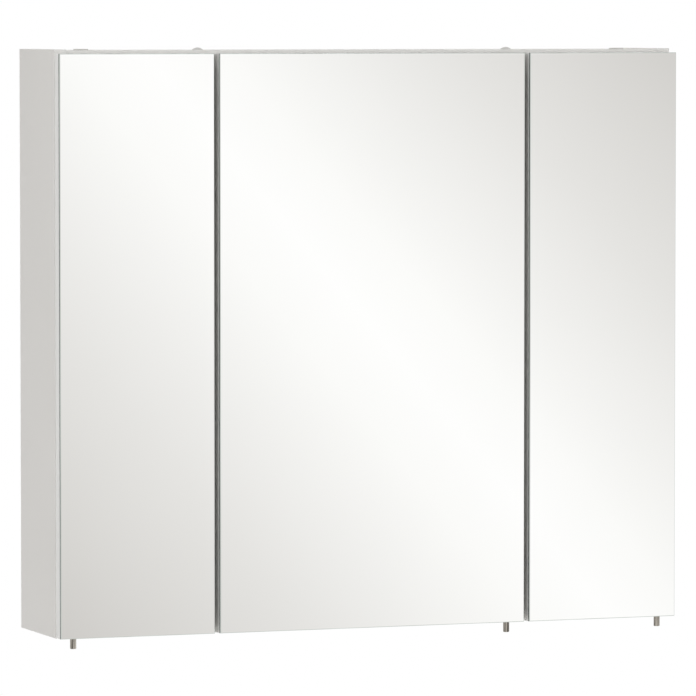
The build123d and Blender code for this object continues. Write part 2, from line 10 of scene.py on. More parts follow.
import json
import logging
import math
from collections.abc import Callable, Iterable, Sequence
from dataclasses import dataclass
from enum import Enum
from typing import Any

import bmesh
import bpy
from mathutils import Matrix, Vector

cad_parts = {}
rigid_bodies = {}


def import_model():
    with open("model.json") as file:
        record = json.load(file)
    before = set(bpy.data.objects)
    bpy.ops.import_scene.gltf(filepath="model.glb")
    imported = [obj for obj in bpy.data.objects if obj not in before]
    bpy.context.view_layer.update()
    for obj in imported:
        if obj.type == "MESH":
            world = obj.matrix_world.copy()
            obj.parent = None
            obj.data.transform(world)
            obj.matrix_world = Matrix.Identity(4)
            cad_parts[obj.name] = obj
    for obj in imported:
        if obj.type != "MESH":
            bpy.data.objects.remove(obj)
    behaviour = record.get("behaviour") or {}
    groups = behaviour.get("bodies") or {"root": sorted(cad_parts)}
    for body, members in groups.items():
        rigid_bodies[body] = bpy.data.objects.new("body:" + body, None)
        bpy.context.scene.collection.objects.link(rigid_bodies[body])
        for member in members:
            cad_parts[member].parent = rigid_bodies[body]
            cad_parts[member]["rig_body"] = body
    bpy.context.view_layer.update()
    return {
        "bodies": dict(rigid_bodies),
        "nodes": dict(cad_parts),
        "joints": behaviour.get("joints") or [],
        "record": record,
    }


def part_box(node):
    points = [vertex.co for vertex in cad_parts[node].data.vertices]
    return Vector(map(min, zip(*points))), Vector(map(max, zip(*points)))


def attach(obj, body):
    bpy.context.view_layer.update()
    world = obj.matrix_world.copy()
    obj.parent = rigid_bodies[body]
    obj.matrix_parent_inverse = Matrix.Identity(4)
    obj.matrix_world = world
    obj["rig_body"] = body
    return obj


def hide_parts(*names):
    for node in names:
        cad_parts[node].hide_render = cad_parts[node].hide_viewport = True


LOG = logging.getLogger("cabinet")
PHOTO_PIXELS = 696

MM = 0.001
WELD = 1e-6  # points this close are one point
FLUSH = 1e-5  # a point this close to a level lies on it

FLAT_ANGLE = math.radians(0.5)  # between the parts of one flat face
SMOOTH_ANGLE = math.radians(30)  # between the steps of one round face
CORNER_ANGLE = math.radians(40)  # beyond it, two faces meet in a corner
SQUARE = 0.99  # share of a direction that counts as lying along an axis

WHITE = "#FFFFFF"
GLASS_IOR = 1.52  # of float glass
NOISE_BAND = (0.3, 0.7)  # holds nearly all values of a noise

# Sockets of a colour mix, whose names are shared by its other kinds of data
SHARE, FIRST, SECOND, RESULT = 0, 6, 7, 2

Rgba = tuple[float, float, float, float]
Point = tuple[float, float, float]
Band = tuple[float, float]
Profile = Sequence[Band]
Tree = bpy.types.NodeTree
Node = bpy.types.Node
Inputs = dict[str | int, Any]
Edge = bmesh.types.BMEdge
EdgeTest = Callable[[Edge], bool]


class Axis(Enum):
    """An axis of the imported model, by the name of its node socket."""

    X = "X"
    Y = "Y"
    Z = "Z"

    @property
    def index(self) -> int:
        """Place of the axis in a vector."""
        return "XYZ".index(self.value)


class Side(Enum):
    """A door, or the compartment behind it, from left to right."""

    LEFT = "left"
    MIDDLE = "middle"
    RIGHT = "right"


# Shader tools
def linear(code: str) -> Rgba:
    """Turns an sRGB colour into linear light.

    Args:
        code: The colour as "#RRGGBB".

    Returns:
        Red, green, blue and an alpha of one.
    """
    levels = [int(code[i : i + 2], 16) / 255 for i in (1, 3, 5)]
    lights = [v / 12.92 if v <= 0.04045 else ((v + 0.055) / 1.055) ** 2.4 for v in levels]
    return (*lights, 1.0)


def pattern(size_mm: float) -> float:
    """Texture scale for features of a real size in millimetres."""
    return 1 / (size_mm * MM)


def add_node(
    tree: Tree,
    kind: str,
    settings: dict[str, Any] | None = None,
    inputs: Inputs | None = None,
) -> Node:
    """Adds a node with its settings, values and links.

    Args:
        tree: Where the node goes.
        kind: The node's type, without "ShaderNode".
        settings: Properties of the node; "stops" fills a colour ramp.
        inputs: A value, or a socket to link from, for each input.

    Returns:
        The new node.
    """
    node = tree.nodes.new("ShaderNode" + kind)
    for key, value in (settings or {}).items():
        if key != "stops":
            setattr(node, key, value)
            continue
        stops = node.color_ramp.elements
        while len(stops) < len(value):
            stops.new(0.5)
        for stop, (place, code) in zip(stops, value):
            stop.position, stop.color = place, linear(code)
    for key, value in (inputs or {}).items():
        if isinstance(value, bpy.types.NodeSocket):
            tree.links.new(value, node.inputs[key])
        else:
            node.inputs[key].default_value = value
    return node


def empty_tree(owner: bpy.types.Material | bpy.types.World) -> Tree:
    """Gives a material or a world a node tree with nothing in it.

    Args:
        owner: The new material or world.

    Returns:
        Its node tree.
    """
    owner.use_nodes = True
    owner.node_tree.nodes.clear()
    return owner.node_tree


@dataclass(frozen=True)
class Finish:
    """A surface finish that makes one material and keeps it."""

    name: str
    slot: str  # the record's material slot

    def material(self) -> bpy.types.Material:
        """The finish as a material, made the first time it is asked for.

        Returns:
            The material, named as the finish.
        """
        made = bpy.data.materials.get(self.name)
        if made is None:
            made = bpy.data.materials.new(self.name)
            tree = empty_tree(made)
            look = self.look(tree, add_node(tree, "TexCoord"))
            shader = add_node(tree, "BsdfPrincipled", inputs=look)
            add_node(tree, "OutputMaterial", inputs={"Surface": shader.outputs[0]})
        return made

    def look(self, tree: Tree, place: Node) -> Inputs:
        """What the finish gives the eye.

        Args:
            tree: Where its nodes go.
            place: Tells where a point is and which way it faces.

        Returns:
            Inputs of the principled shader.
        """
        raise NotImplementedError


@dataclass(frozen=True)
class Melamine(Finish):
    """Melamine-faced chipboard with ABS edging pressed on its narrow sides.

    The printed face is a calm off-white with a fine pearl that breaks up its
    sheen. The edging is a shade whiter than the face.
    """

    face_axis: Axis = Axis.X
    face: str = "#E9E7E4"
    shade: str = "#E4E2DE"
    edging: str = "#EDECE9"
    cloud_mm: float = 160.0
    pearl_mm: float = 2.4  # really about 0.4 mm; drawn coarser so that it shows
    pearl_height_mm: float = 0.1
    sheen: Band = (0.38, 0.5)  # roughness over the pearl
    face_turn: float = 0.7  # a surface that looks more along the axis than this is face

    def look(self, tree: Tree, place: Node) -> Inputs:
        """Face and edging, told apart by the way that the surface looks.

        Args:
            tree: Where its nodes go.
            place: Tells where a point is and which way it faces.

        Returns:
            Inputs of the principled shader.
        """
        where = place.outputs["Object"]
        cloud = add_node(
            tree, "TexNoise", inputs={"Vector": where, "Scale": pattern(self.cloud_mm)}
        )
        pearl = add_node(
            tree,
            "TexNoise",
            inputs={"Vector": where, "Scale": pattern(self.pearl_mm), "Detail": 3.0},
        )
        sides = add_node(tree, "SeparateXYZ", inputs={0: place.outputs["Normal"]})
        turn = add_node(
            tree, "Math", {"operation": "ABSOLUTE"}, {0: sides.outputs[self.face_axis.value]}
        )
        is_face = add_node(
            tree, "Math", {"operation": "GREATER_THAN"}, {0: turn.outputs[0], 1: self.face_turn}
        )
        face = add_node(
            tree,
            "Mix",
            {"data_type": "RGBA"},
            {SHARE: cloud.outputs["Fac"], FIRST: linear(self.face), SECOND: linear(self.shade)},
        )
        colour = add_node(
            tree,
            "Mix",
            {"data_type": "RGBA"},
            {SHARE: is_face.outputs[0], FIRST: linear(self.edging), SECOND: face.outputs[RESULT]},
        )
        sheen = add_node(
            tree,
            "MapRange",
            inputs={
                "Value": pearl.outputs["Fac"],
                "From Min": NOISE_BAND[0],
                "From Max": NOISE_BAND[1],
                "To Min": self.sheen[0],
                "To Max": self.sheen[1],
            },
        )
        bump = add_node(
            tree,
            "Bump",
            inputs={
                "Strength": 0.12,
                "Distance": self.pearl_height_mm * MM,
                "Height": pearl.outputs["Fac"],
            },
        )
        return {
            "Base Color": colour.outputs[RESULT],
            "Roughness": sheen.outputs[0],
            "IOR": 1.5,
            "Normal": bump.outputs[0],
        }


@dataclass(frozen=True)
class Hardboard(Finish):
    """Lacquered hardboard: white towards the room, raw pressed fibre behind.

    The raw side is a warm brown with short paler and darker fibres and no gloss,
    dimpled by the wire screen that it was pressed on.
    """

    lacquer: str = "#E8E7E4"
    fibre: str = "#86684B"
    pale_fibre: str = "#AD8E6D"
    fibre_mm: float = 6.0
    screen_mm: float = 2.5  # print of the press screen on the raw side
    dimple_mm: float = 0.4  # depth of that print
    sheen: Band = (0.4, 0.85)  # roughness of the lacquer and of the raw side
    raw_turn: float = 0.5  # a surface that looks more to the wall than this is raw

    def look(self, tree: Tree, place: Node) -> Inputs:
        """White and raw sides, told apart by the way that the surface looks.

        Args:
            tree: Where its nodes go.
            place: Tells where a point is and which way it faces.

        Returns:
            Inputs of the principled shader.
        """
        where = place.outputs["Object"]
        sides = add_node(tree, "SeparateXYZ", inputs={0: place.outputs["Normal"]})
        is_raw = add_node(
            tree, "Math", {"operation": "GREATER_THAN"}, {0: sides.outputs["Y"], 1: self.raw_turn}
        )
        fibres = add_node(
            tree,
            "TexNoise",
            inputs={
                "Vector": where,
                "Scale": pattern(self.fibre_mm),
                "Detail": 8.0,
                "Roughness": 0.75,
            },
        )
        screen = add_node(
            tree,
            "TexVoronoi",
            inputs={"Vector": where, "Scale": pattern(self.screen_mm), "Randomness": 0.0},
        )
        raw = add_node(
            tree,
            "ValToRGB",
            {"stops": list(zip(NOISE_BAND, (self.fibre, self.pale_fibre)))},
            {"Fac": fibres.outputs["Fac"]},
        )
        colour = add_node(
            tree,
            "Mix",
            {"data_type": "RGBA"},
            {SHARE: is_raw.outputs[0], FIRST: linear(self.lacquer), SECOND: raw.outputs[0]},
        )
        rough = add_node(
            tree,
            "MapRange",
            inputs={"Value": is_raw.outputs[0], "To Min": self.sheen[0], "To Max": self.sheen[1]},
        )
        dimples = add_node(
            tree,
            "Math",
            {"operation": "MULTIPLY"},
            {0: screen.outputs["Distance"], 1: is_raw.outputs[0]},
        )
        bump = add_node(
            tree,
            "Bump",
            inputs={
                "Strength": 0.35,
                "Distance": self.dimple_mm * MM,
                "Height": dimples.outputs[0],
            },
        )
        return {
            "Base Color": colour.outputs[RESULT],
            "Roughness": rough.outputs[0],
            "Normal": bump.outputs[0],
        }


@dataclass(frozen=True)
class SilveredGlass(Finish):
    """Float glass silvered on its back: a clean, neutral mirror.

    A breath of haze, a little denser in soft patches, keeps it from being ideal.
    """

    silver: str = "#F7F7F6"
    haze: str = "#F4F4F3"
    haze_mm: float = 240.0
    polish: Band = (0.0, 0.02)  # roughness where it is clear and where it is hazy

    def look(self, tree: Tree, place: Node) -> Inputs:
        """A polished metal whose tone and polish drift slightly.

        Args:
            tree: Where its nodes go.
            place: Tells where a point is and which way it faces.

        Returns:
            Inputs of the principled shader.
        """
        haze = add_node(
            tree,
            "TexNoise",
            inputs={"Vector": place.outputs["Object"], "Scale": pattern(self.haze_mm)},
        )
        colour = add_node(
            tree,
            "Mix",
            {"data_type": "RGBA"},
            {SHARE: haze.outputs["Fac"], FIRST: linear(self.silver), SECOND: linear(self.haze)},
        )
        polish = add_node(
            tree,
            "MapRange",
            inputs={
                "Value": haze.outputs["Fac"],
                "To Min": self.polish[0],
                "To Max": self.polish[1],
            },
        )
        return {
            "Base Color": colour.outputs[RESULT],
            "Metallic": 1.0,
            "Roughness": polish.outputs[0],
        }


@dataclass(frozen=True)
class GlassEdge(Finish):
    """Cut edge of float glass, ground by wheel: green in depth, pale where matt.

    Fine wheel marks run along the edge.
    """

    thick_axis: Axis = Axis.Y  # through the sheet
    deep: str = "#343D39"
    pale: str = "#47514C"
    spread: Band = (0.35, 0.65)  # of the marks, from deep to pale
    mark_mm: float = 0.9  # across the sheet; really finer, drawn coarser so that it shows
    mark_height_mm: float = 0.05
    run_mm: float = 45.0  # along the edge
    rough: float = 0.3
    specular: float = 0.25  # a ground face scatters most of what it would mirror

    def look(self, tree: Tree, place: Node) -> Inputs:
        """Wheel marks as a grain stretched along the edge, in tone and height.

        Args:
            tree: Where its nodes go.
            place: Tells where a point is and which way it faces.

        Returns:
            Inputs of the principled shader.
        """
        scale = [pattern(self.run_mm)] * 3
        scale[self.thick_axis.index] = pattern(self.mark_mm)
        lay = add_node(
            tree, "Mapping", inputs={"Vector": place.outputs["Object"], "Scale": scale}
        )
        marks = add_node(
            tree, "TexNoise", inputs={"Vector": lay.outputs[0], "Scale": 1.0, "Detail": 2.0}
        )
        colour = add_node(
            tree,
            "ValToRGB",
            {"stops": list(zip(self.spread, (self.deep, self.pale)))},
            {"Fac": marks.outputs["Fac"]},
        )
        bump = add_node(
            tree,
            "Bump",
            inputs={
                "Strength": 0.1,
                "Distance": self.mark_height_mm * MM,
                "Height": marks.outputs["Fac"],
            },
        )
        return {
            "Base Color": colour.outputs[0],
            "Roughness": self.rough,
            "IOR": GLASS_IOR,
            "Specular IOR Level": self.specular,
            "Normal": bump.outputs[0],
        }


@dataclass(frozen=True)
class ClearGlass(Finish):
    """Toughened float glass of a shelf: clear, with a trace of green and haze."""

    tint: str = "#F0F8F4"
    haze_tint: str = "#E9F3EE"
    haze_mm: float = 90.0

    def look(self, tree: Tree, place: Node) -> Inputs:
        """A transmitting solid whose tint drifts slightly.

        Args:
            tree: Where its nodes go.
            place: Tells where a point is and which way it faces.

        Returns:
            Inputs of the principled shader.
        """
        haze = add_node(
            tree,
            "TexNoise",
            inputs={"Vector": place.outputs["Object"], "Scale": pattern(self.haze_mm)},
        )
        colour = add_node(
            tree,
            "Mix",
            {"data_type": "RGBA"},
            {SHARE: haze.outputs["Fac"], FIRST: linear(self.tint), SECOND: linear(self.haze_tint)},
        )
        return {
            "Base Color": colour.outputs[RESULT],
            "Roughness": 0.0,
            "IOR": GLASS_IOR,
            "Transmission Weight": 1.0,
        }


@dataclass(frozen=True)
class WorkedMetal(Finish):
    """A plated or brushed metal with streaks left by how it was worked.

    Streaks lie along one axis, and set both its tone and its gloss.
    """

    dark: str = "#8A8781"
    light: str = "#B9B6B0"
    streak_mm: float = 1.2
    run_mm: float = 20.0  # length of a streak
    run_axis: Axis = Axis.Z
    gloss: Band = (0.2, 0.35)  # roughness over the streaks
    spread: Band = (0.35, 0.65)  # of the streaks, from dark to light
    height_mm: float = 0.02

    def look(self, tree: Tree, place: Node) -> Inputs:
        """Noise stretched along the working direction.

        Args:
            tree: Where its nodes go.
            place: Tells where a point is and which way it faces.

        Returns:
            Inputs of the principled shader.
        """
        scale = [pattern(self.streak_mm)] * 3
        scale[self.run_axis.index] = pattern(self.run_mm)
        lay = add_node(
            tree, "Mapping", inputs={"Vector": place.outputs["Object"], "Scale": scale}
        )
        streaks = add_node(
            tree, "TexNoise", inputs={"Vector": lay.outputs[0], "Scale": 1.0, "Detail": 3.0}
        )
        colour = add_node(
            tree,
            "ValToRGB",
            {"stops": list(zip(self.spread, (self.dark, self.light)))},
            {"Fac": streaks.outputs["Fac"]},
        )
        polish = add_node(
            tree,
            "MapRange",
            inputs={
                "Value": streaks.outputs["Fac"],
                "From Min": NOISE_BAND[0],
                "From Max": NOISE_BAND[1],
                "To Min": self.gloss[0],
                "To Max": self.gloss[1],
            },
        )
        bump = add_node(
            tree,
            "Bump",
            inputs={
                "Strength": 0.3,
                "Distance": self.height_mm * MM,
                "Height": streaks.outputs["Fac"],
            },
        )
        return {
            "Base Color": colour.outputs[0],
            "Metallic": 1.0,
            "Roughness": polish.outputs[0],
            "Normal": bump.outputs[0],
        }


@dataclass(frozen=True)
class MouldedPlastic(Finish):
    """Moulded plastic with a fine spark-eroded skin.

    Evenly coloured right through, a little glossier where the skin is smooth.
    """

    tone: str = "#EAE9E6"
    hollow: str = "#E2E1DD"
    skin_mm: float = 1.6  # really about 0.1 mm; drawn coarser so that it shows
    skin_height_mm: float = 0.05
    gloss: Band = (0.3, 0.42)  # roughness over the skin
    clear: float = 0.0  # share of the light that passes through

    def look(self, tree: Tree, place: Node) -> Inputs:
        """Fine noise in tone, gloss and height.

        Args:
            tree: Where its nodes go.
            place: Tells where a point is and which way it faces.

        Returns:
            Inputs of the principled shader.
        """
        skin = add_node(
            tree,
            "TexNoise",
            inputs={
                "Vector": place.outputs["Object"],
                "Scale": pattern(self.skin_mm),
                "Detail": 2.0,
            },
        )
        colour = add_node(
            tree,
            "Mix",
            {"data_type": "RGBA"},
            {SHARE: skin.outputs["Fac"], FIRST: linear(self.tone), SECOND: linear(self.hollow)},
        )
        sheen = add_node(
            tree,
            "MapRange",
            inputs={
                "Value": skin.outputs["Fac"],
                "From Min": NOISE_BAND[0],
                "From Max": NOISE_BAND[1],
                "To Min": self.gloss[0],
                "To Max": self.gloss[1],
            },
        )
        bump = add_node(
            tree,
            "Bump",
            inputs={
                "Strength": 0.1,
                "Distance": self.skin_height_mm * MM,
                "Height": skin.outputs["Fac"],
            },
        )
        return {
            "Base Color": colour.outputs[RESULT],
            "Roughness": sheen.outputs[0],
            "IOR": 1.49,
            "Transmission Weight": self.clear,
            "Normal": bump.outputs[0],
        }


@dataclass(frozen=True)
class Beech(Finish):
    """Turned beech of the dowels: pinkish tan with short dark flecks."""

    wood: str = "#C9A57C"
    fleck: str = "#A27C55"
    spread: Band = (0.4, 0.6)  # of the noise, from fleck to wood
    fleck_mm: float = 0.8
    grain_mm: float = 9.0

    def look(self, tree: Tree, place: Node) -> Inputs:
        """Flecks drawn out along the dowel.

        Args:
            tree: Where its nodes go.
            place: Tells where a point is and which way it faces.

        Returns:
            Inputs of the principled shader.
        """
        fine = pattern(self.fleck_mm)
        lay = add_node(
            tree,
            "Mapping",
            inputs={
                "Vector": place.outputs["Object"],
                "Scale": (pattern(self.grain_mm), fine, fine),
            },
        )
        flecks = add_node(
            tree, "TexNoise", inputs={"Vector": lay.outputs[0], "Scale": 1.0, "Detail": 4.0}
        )
        colour = add_node(
            tree,
            "ValToRGB",
            {"stops": list(zip(self.spread, (self.fleck, self.wood)))},
            {"Fac": flecks.outputs["Fac"]},
        )
        return {"Base Color": colour.outputs[0], "Roughness": 0.6}


# White melamine and edging, one finish for each way that a board lies
UPRIGHT_BOARD = Melamine("white_melamine_upright", "melamine", Axis.X)
LEVEL_BOARD = Melamine("white_melamine_level", "melamine", Axis.Z)
DOOR_BOARD = Melamine("white_melamine_door", "edge_banded_door", Axis.Y, edging="#F0F0EE")
BACK_BOARD = Hardboard("lacquered_hardboard", "back_board")
# Mirrors: a bright silvered face, a dark ground edge, and a pale polished arris between them
SILVER = SilveredGlass("silvered_float_glass", "silvered_glass")
MIRROR_EDGE = GlassEdge("cut_glass_edge", "silvered_glass")
MIRROR_ARRIS = SilveredGlass("polished_glass_arris", "silvered_glass", "#D6DCD9", "#CBD2CE", 20.0)
# Shelves: clear faces, and polished edges that show how green the glass is in depth
SHELF_GLASS = ClearGlass("toughened_clear_glass", "clear_glass")
SHELF_EDGE = GlassEdge(
    "polished_green_edge", "clear_glass", Axis.Z, "#6C9F8C", "#93C0AE", rough=0.06, specular=0.5
)
# Satin nickel, brushed along the knob: warm grey with light and dark streaks, partly brushing and
# partly painted reflection of the studio.
# The streaks are drawn coarser than real so that they show on a knob this small.
KNOB_NICKEL = WorkedMetal(
    "brushed_nickel_painted_reflection", "nickel", "#4C4843", "#CAC4BA", streak_mm=1.0, run_mm=40.0
)
# Nickel-plated steel, pressed: pale and fairly bright, with faint rolling lines
HINGE_NICKEL = WorkedMetal(
    "nickel_plated_steel", "nickel_steel", "#C0BDB7", "#CECBC5", streak_mm=1.0, run_mm=9.0,
    gloss=(0.16, 0.26),
)
# Zinc-plated steel: bluish and duller than nickel, softly mottled
ZINC = WorkedMetal(
    "zinc_plated_steel", "zinc_steel", "#9DA1A3", "#B3B6B7", streak_mm=3.0, run_mm=4.0,
    gloss=(0.3, 0.45),
)
# Hanger housings: hard white polystyrene with a low sheen
HOUSING_PLASTIC = MouldedPlastic("white_moulded_polystyrene", "white_plastic")
# Caps pushed into the boards: soft polyethylene, greyer than the boards; the grey is painted
# shade, standing in for the shade that falls on the cover rims
CAP_PLASTIC = MouldedPlastic(
    "polyethylene_greyed_as_painted_shade", "white_plastic", "#D6D5D1", "#CDCCC8", gloss=(0.36, 0.48)
)
# Bumpers: soft clear polyurethane, glossy and mostly see-through
BUMPER_RUBBER = MouldedPlastic(
    "clear_polyurethane", "clear_bumper", "#EEF1EF", "#E6EAE8", gloss=(0.12, 0.25), clear=0.7
)
DOWEL_BEECH = Beech("turned_beech", "beech")


# Mesh tools
def ease_edges(
    mesh: bmesh.types.BMesh,
    radius: float,
    pick: EdgeTest,
    steps: int = 3,
) -> None:
    """Rounds the picked edges, and keeps the flats beside them flat.

    Args:
        mesh: The mesh to work on.
        radius: How far back from the edge the rounding starts.
        pick: Tells which edges are rounded.
        steps: Facets across the rounding.
    """
    for edge in mesh.edges:
        edge.smooth = len(edge.link_faces) == 2 and edge.calc_face_angle() < SMOOTH_ANGLE
    edges = [edge for edge in mesh.edges if len(edge.link_faces) == 2 and pick(edge)]
    made = bmesh.ops.bevel(
        mesh, geom=edges, offset=radius, segments=steps, profile=0.5, affect="EDGES"
    )
    rounds = set(made["faces"])
    for face in rounds:
        for edge in face.edges:
            edge.smooth = all(other in rounds for other in edge.link_faces)


def is_sharp(edge: Edge) -> bool:
    """Whether an edge is a corner, and not a step of a round surface."""
    return edge.calc_face_angle() > CORNER_ANGLE


def lies_at(edge: Edge, axis: Axis, level: float) -> bool:
    """Whether the whole of an edge lies at one level of an axis."""
    return all(abs(vert.co[axis.index] - level) < FLUSH for vert in edge.verts)


def node_mesh(node: bpy.types.Object) -> bmesh.types.BMesh:
    """A CAD node's shape as whole faces, to work on as a new piece.

    Args:
        node: The CAD node's object, which stays as it is.

    Returns:
        A copy of its mesh, with its triangles joined into flat faces.
    """
    mesh = bmesh.new()
    mesh.from_mesh(node.data)
    bmesh.ops.remove_doubles(mesh, verts=mesh.verts, dist=WELD)
    bmesh.ops.dissolve_limit(mesh, angle_limit=FLAT_ANGLE, verts=mesh.verts, edges=mesh.edges)
    return mesh


def slab(low: Vector, high: Vector) -> bmesh.types.BMesh:
    """A plain block between two corners, to be worked on.

    Args:
        low: Its lowest corner.
        high: Its highest corner.

    Returns:
        The block's mesh.
    """
    mesh = bmesh.new()
    size, middle = high - low, (high + low) / 2
    bmesh.ops.create_cube(
        mesh, size=1.0, matrix=Matrix.Translation(middle) @ Matrix.Diagonal((*size, 1.0))
    )
    return mesh


def lathe(mesh: bmesh.types.BMesh, profile: Profile, place: Matrix, steps: int = 48) -> None:
    """Turns a profile round the local Z axis and closes its ends.

    Args:
        mesh: Where the turned form is added.
        profile: Radius and height of each point, from one end to the other.
        place: From the turned form's own frame to the model's.
        steps: Facets round the form.
    """
    rings = []
    for radius, height in profile:
        turns = [2 * math.pi * k / steps for k in range(steps)]
        points = [Vector((radius * math.cos(t), radius * math.sin(t), height)) for t in turns]
        rings.append([mesh.verts.new(place @ point) for point in points])
    for lower, upper in zip(rings, rings[1:]):
        for k in range(steps):
            after = (k + 1) % steps
            mesh.faces.new((lower[k], lower[after], upper[after], upper[k]))
    mesh.faces.new(rings[0][::-1])
    mesh.faces.new(rings[-1])
    bmesh.ops.recalc_face_normals(mesh, faces=mesh.faces)
    for edge in mesh.edges:
        edge.smooth = edge.calc_face_angle(0.0) < SMOOTH_ANGLE


@dataclass(frozen=True)
class Fold:
    """A long bend in sheet steel: how round it is and how its edges are known."""

    radius_mm: float
    along: Axis
    shortest_mm: float

    def takes(self, edge: Edge) -> bool:
        """Whether an edge is an outer edge of the bend.

        Args:
            edge: An edge with a face on each side.

        Returns:
            True if it is rounded with the bend.
        """
        run = edge.verts[1].co - edge.verts[0].co
        straight = abs(run[self.along.index]) > SQUARE * run.length
        long = run.length > self.shortest_mm * MM
        return straight and long and edge.is_convex and is_sharp(edge)


@dataclass
class Workshop:
    """Turns worked meshes into pieces of the model."""

    frame: dict[str, Any]
    count: int = 0

    def node(self, name: str) -> bpy.types.Object:
        """A CAD node's object, by name."""
        return self.frame["nodes"][name]

    def body(self, node: str) -> str:
        """Name of the body that a CAD node belongs to."""
        return self.node(node)["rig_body"]

    def dress(self, name: str, finish: Finish) -> None:
        """Gives a CAD node that keeps its own shape a finish.

        Args:
            name: The CAD node.
            finish: Its finish.
        """
        mesh = self.node(name).data
        mesh.materials.clear()
        mesh.materials.append(finish.material())
        LOG.info("dressed %s in %s", name, finish.name)

    def make(
        self,
        name: str,
        mesh: bmesh.types.BMesh,
        node: str,
        finishes: Sequence[Finish],
    ) -> bpy.types.Object:
        """Makes a piece that stands for a CAD node.

        Args:
            name: The piece's name.
            mesh: Its shape, in the model's frame; it is freed here.
            node: The CAD node that the piece replaces.
            finishes: Its finishes, in the order of the faces' material numbers.

        Returns:
            The new object.
        """
        data = bpy.data.meshes.new(name)
        for face in mesh.faces:
            face.smooth = True
        mesh.to_mesh(data)
        mesh.free()
        for finish in finishes:
            data.materials.append(finish.material())
        piece = bpy.data.objects.new(name, data)
        bpy.context.scene.collection.objects.link(piece)
        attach(piece, self.body(node))
        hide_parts(node)
        self.count += 1
        LOG.info("made %s for %s, %d faces", name, node, len(data.polygons))
        return piece

    def eased(
        self,
        node: str,
        suffix: str,
        radius_mm: float,
        finish: Finish,
        fold: Fold | None = None,
        pick: EdgeTest = is_sharp,
    ) -> None:
        """Replaces a CAD node by its own shape with its corners eased.

        Args:
            node: The CAD node.
            suffix: Added to the node's name for the piece's name.
            radius_mm: Rounding of the corners.
            finish: The piece's finish.
            fold: Wider rounding of the long bends, made first.
            pick: Tells which corners are eased.
        """
        mesh = node_mesh(self.node(node))
        if fold:
            ease_edges(mesh, fold.radius_mm * MM, fold.takes, steps=4)
        ease_edges(mesh, radius_mm * MM, pick, steps=2)
        self.make(f"{node}_{suffix}", mesh, node, [finish])


@dataclass
class Carcass:
    """Boards of the cabinet's box and the fasteners that hold them."""

    shop: Workshop
    edge_mm: float = 0.4  # rounding of the edging
    cover_rim_mm: float = 0.5

    def board(self, node: str, finish: Finish) -> None:
        """A board whose outer edges are rounded and whose drillings stay crisp.

        Args:
            node: The board's CAD node.
            finish: Its finish, for the way that it lies.
        """
        low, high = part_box(node)

        def is_outer(edge: Edge) -> bool:
            """Whether an edge lies on two of the board's outer faces."""
            levels = [(axis, end[axis.index]) for axis in Axis for end in (low, high)]
            return sum(lies_at(edge, *level) for level in levels) >= 2 and is_sharp(edge)

        mesh = node_mesh(self.shop.node(node))
        ease_edges(mesh, self.edge_mm * MM, is_outer)
        self.shop.make(f"{node}_board", mesh, node, [finish])

    def build(self) -> None:
        """Builds the boards and the visible covers, and dresses the hidden hardware."""
        for node in ("left_side_panel", "right_side_panel", "left_partition", "right_partition"):
            self.board(node, UPRIGHT_BOARD)
        for node in ("top_panel", "bottom_panel"):
            self.board(node, LEVEL_BOARD)
        self.shop.dress("back_panel", BACK_BOARD)
        for node in ("cam_locks", "cam_bolts", "partition_screws"):
            self.shop.dress(node, ZINC)
        self.shop.dress("dowels", DOWEL_BEECH)
        for node in ("cam_covers", "screw_caps"):
            self.shop.eased(node, "moulding", self.cover_rim_mm, CAP_PLASTIC)


